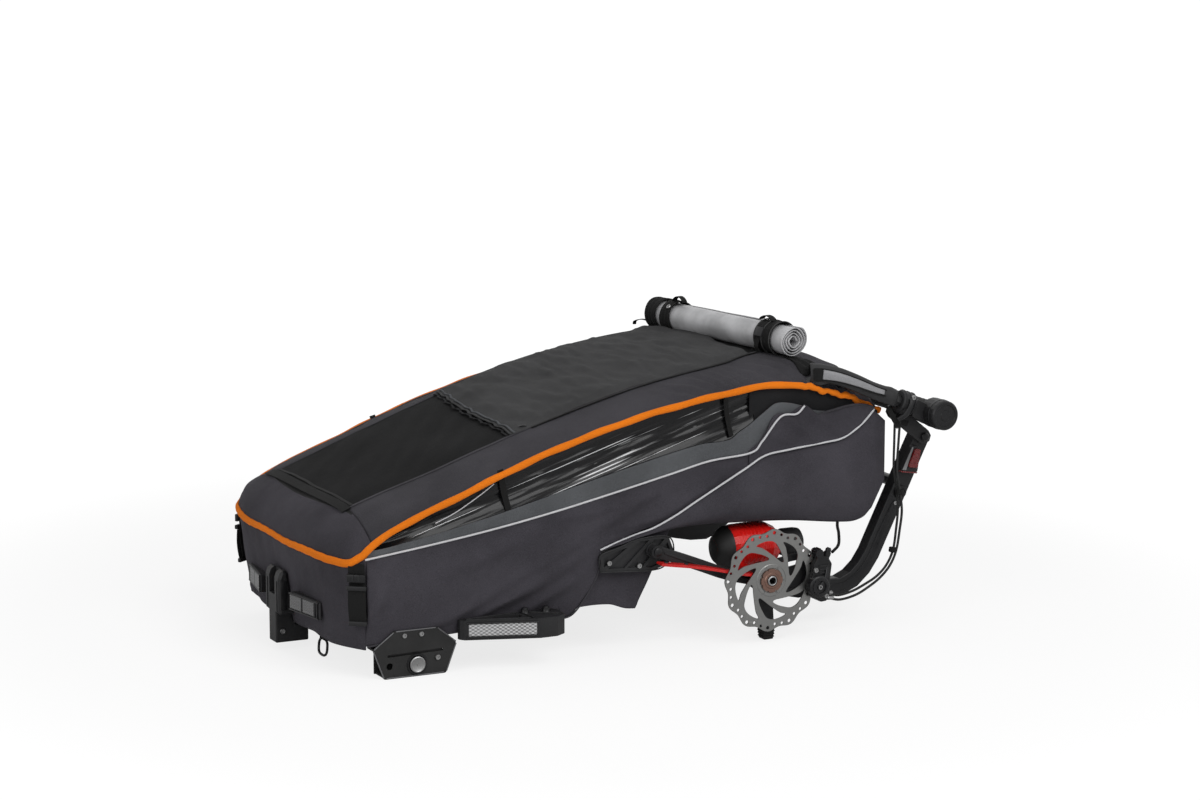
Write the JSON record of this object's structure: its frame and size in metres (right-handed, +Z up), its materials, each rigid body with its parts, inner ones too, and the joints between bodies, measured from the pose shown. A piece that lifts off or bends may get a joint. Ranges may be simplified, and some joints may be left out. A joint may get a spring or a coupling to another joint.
{
  "type": "child bike trailer",
  "caption": "Child bicycle trailer folded flat, wheels and drawbar off, with sprung arms, disc rotors, clip-on front mounts and a push bar.",
  "frame": {"origin": "centre of the bounding box on the floor that the folded trailer stands on", "axes": "+X to the rear (push bar), +Y to the trailer's right side, +Z up"},
  "size_m": [1.0339, 0.637, 0.475],
  "materials": {
    "fabric": "matte",
    "clear": "gloss",
    "tube": "satin",
    "plastic": "matte",
    "rubber": "matte",
    "steel": "satin",
    "ring": "satin",
    "red": "satin",
    "grey": "satin",
    "red_lens": "gloss",
    "seat": "matte",
    "foam": "matte"
  },
  "bodies": {
    "chassis": {"rail_left": "tube", "rail_right": "tube", "front_cross_tube": "tube", "middle_cross_tube": "tube", "rear_cross_tube": "tube", "floor_pan": "fabric", "seat_pad": "seat", "seat_back": "seat", "nose_cover": "fabric", "nose_fold": "fabric", "rear_bag": "fabric", "side_panel_left": "fabric", "side_panel_right": "fabric", "side_pocket_left": "fabric", "side_pocket_right": "fabric", "nose_mount": "plastic", "front_reflector_left": "plastic", "front_reflector_right": "plastic", "bumper_left": "plastic", "bumper_right": "plastic", "suspension_plate_left": "plastic", "suspension_plate_right": "plastic", "drawbar_bracket": "plastic", "caliper_link_cable": "rubber"},
    "upper_frame": {"canopy": "fabric", "roof_tube_left": "tube", "roof_tube_right": "tube", "side_window_left": "clear", "side_window_right": "clear", "collar_left": "plastic", "collar_right": "plastic", "shoulder_cover_left": "fabric", "shoulder_cover_right": "fabric", "roof_bow": "tube", "cover_roll": "clear"},
    "push_bar": {"push_bar_arm_left": "plastic", "push_bar_arm_right": "plastic", "push_bar_grip": "foam"},
    "rear_frame": {"rear_post_left": "plastic", "rear_post_right": "plastic", "rear_frame_bar": "tube", "tail_light_housing": "grey", "tail_light_lens": "red_lens", "brake_cable_outer": "rubber", "brake_cable_inner": "rubber"},
    "bracket_button": {"bracket_button": "steel"},
    "swing_left": {"swing_arm_left": "plastic", "leaf_spring_left": "red", "damper_left": "red", "caliper_left": "plastic", "foot_left": "rubber"},
    "wheel_left": {"rotor_left": "steel", "lock_ring_left": "ring"},
    "swing_right": {"swing_arm_right": "plastic", "leaf_spring_right": "red", "damper_right": "red", "caliper_right": "plastic", "foot_right": "rubber"},
    "wheel_right": {"rotor_right": "steel", "lock_ring_right": "ring"}
  },
  "joints": [
    {"name": "fold", "type": "hinge", "parent": "chassis", "child": "upper_frame", "pos_m": [-0.44435, 0, 0.198], "axis": [0, -1, 0], "range_deg": [0, 20], "deforming": ["nose_fold"]},
    {"name": "rear_frame_hinge", "type": "hinge", "parent": "upper_frame", "child": "rear_frame", "pos_m": [0.48915, 0, 0.29], "axis": [0, -1, 0], "range_deg": [0, 18.6]},
    {"name": "push_bar_slide", "type": "slide", "parent": "upper_frame", "child": "push_bar", "axis": [0.942, 0, -0.3357], "range_m": [0, 0.045]},
    {"name": "bracket_button_slide", "type": "slide", "parent": "chassis", "child": "bracket_button", "axis": [0, 1, 0], "range_m": [0, 0.0055], "stiffness_N_per_m": 600, "springref_m": -0.004},
    {"name": "swing_left", "type": "hinge", "parent": "chassis", "child": "swing_left", "pos_m": [0.00215, -0.2635, 0.157], "axis": [0, -1, 0], "range_deg": [0, 6], "stiffness_Nm_per_rad": 90, "springref_deg": -20.05},
    {"name": "wheel_left", "type": "hinge", "parent": "swing_left", "child": "wheel_left", "pos_m": [0.18665, -0.3, 0.099], "axis": [0, 1, 0], "continuous": true},
    {"name": "swing_right", "type": "hinge", "parent": "chassis", "child": "swing_right", "pos_m": [0.00215, 0.2635, 0.157], "axis": [0, -1, 0], "range_deg": [0, 6], "stiffness_Nm_per_rad": 90, "springref_deg": -20.05},
    {"name": "wheel_right", "type": "hinge", "parent": "swing_right", "child": "wheel_right", "pos_m": [0.18665, 0.3, 0.099], "axis": [0, 1, 0], "continuous": true}
  ],
  "couplings": [
    {"joint": "rear_frame_hinge", "follows": "fold", "ratio": 0.93}
  ]
}
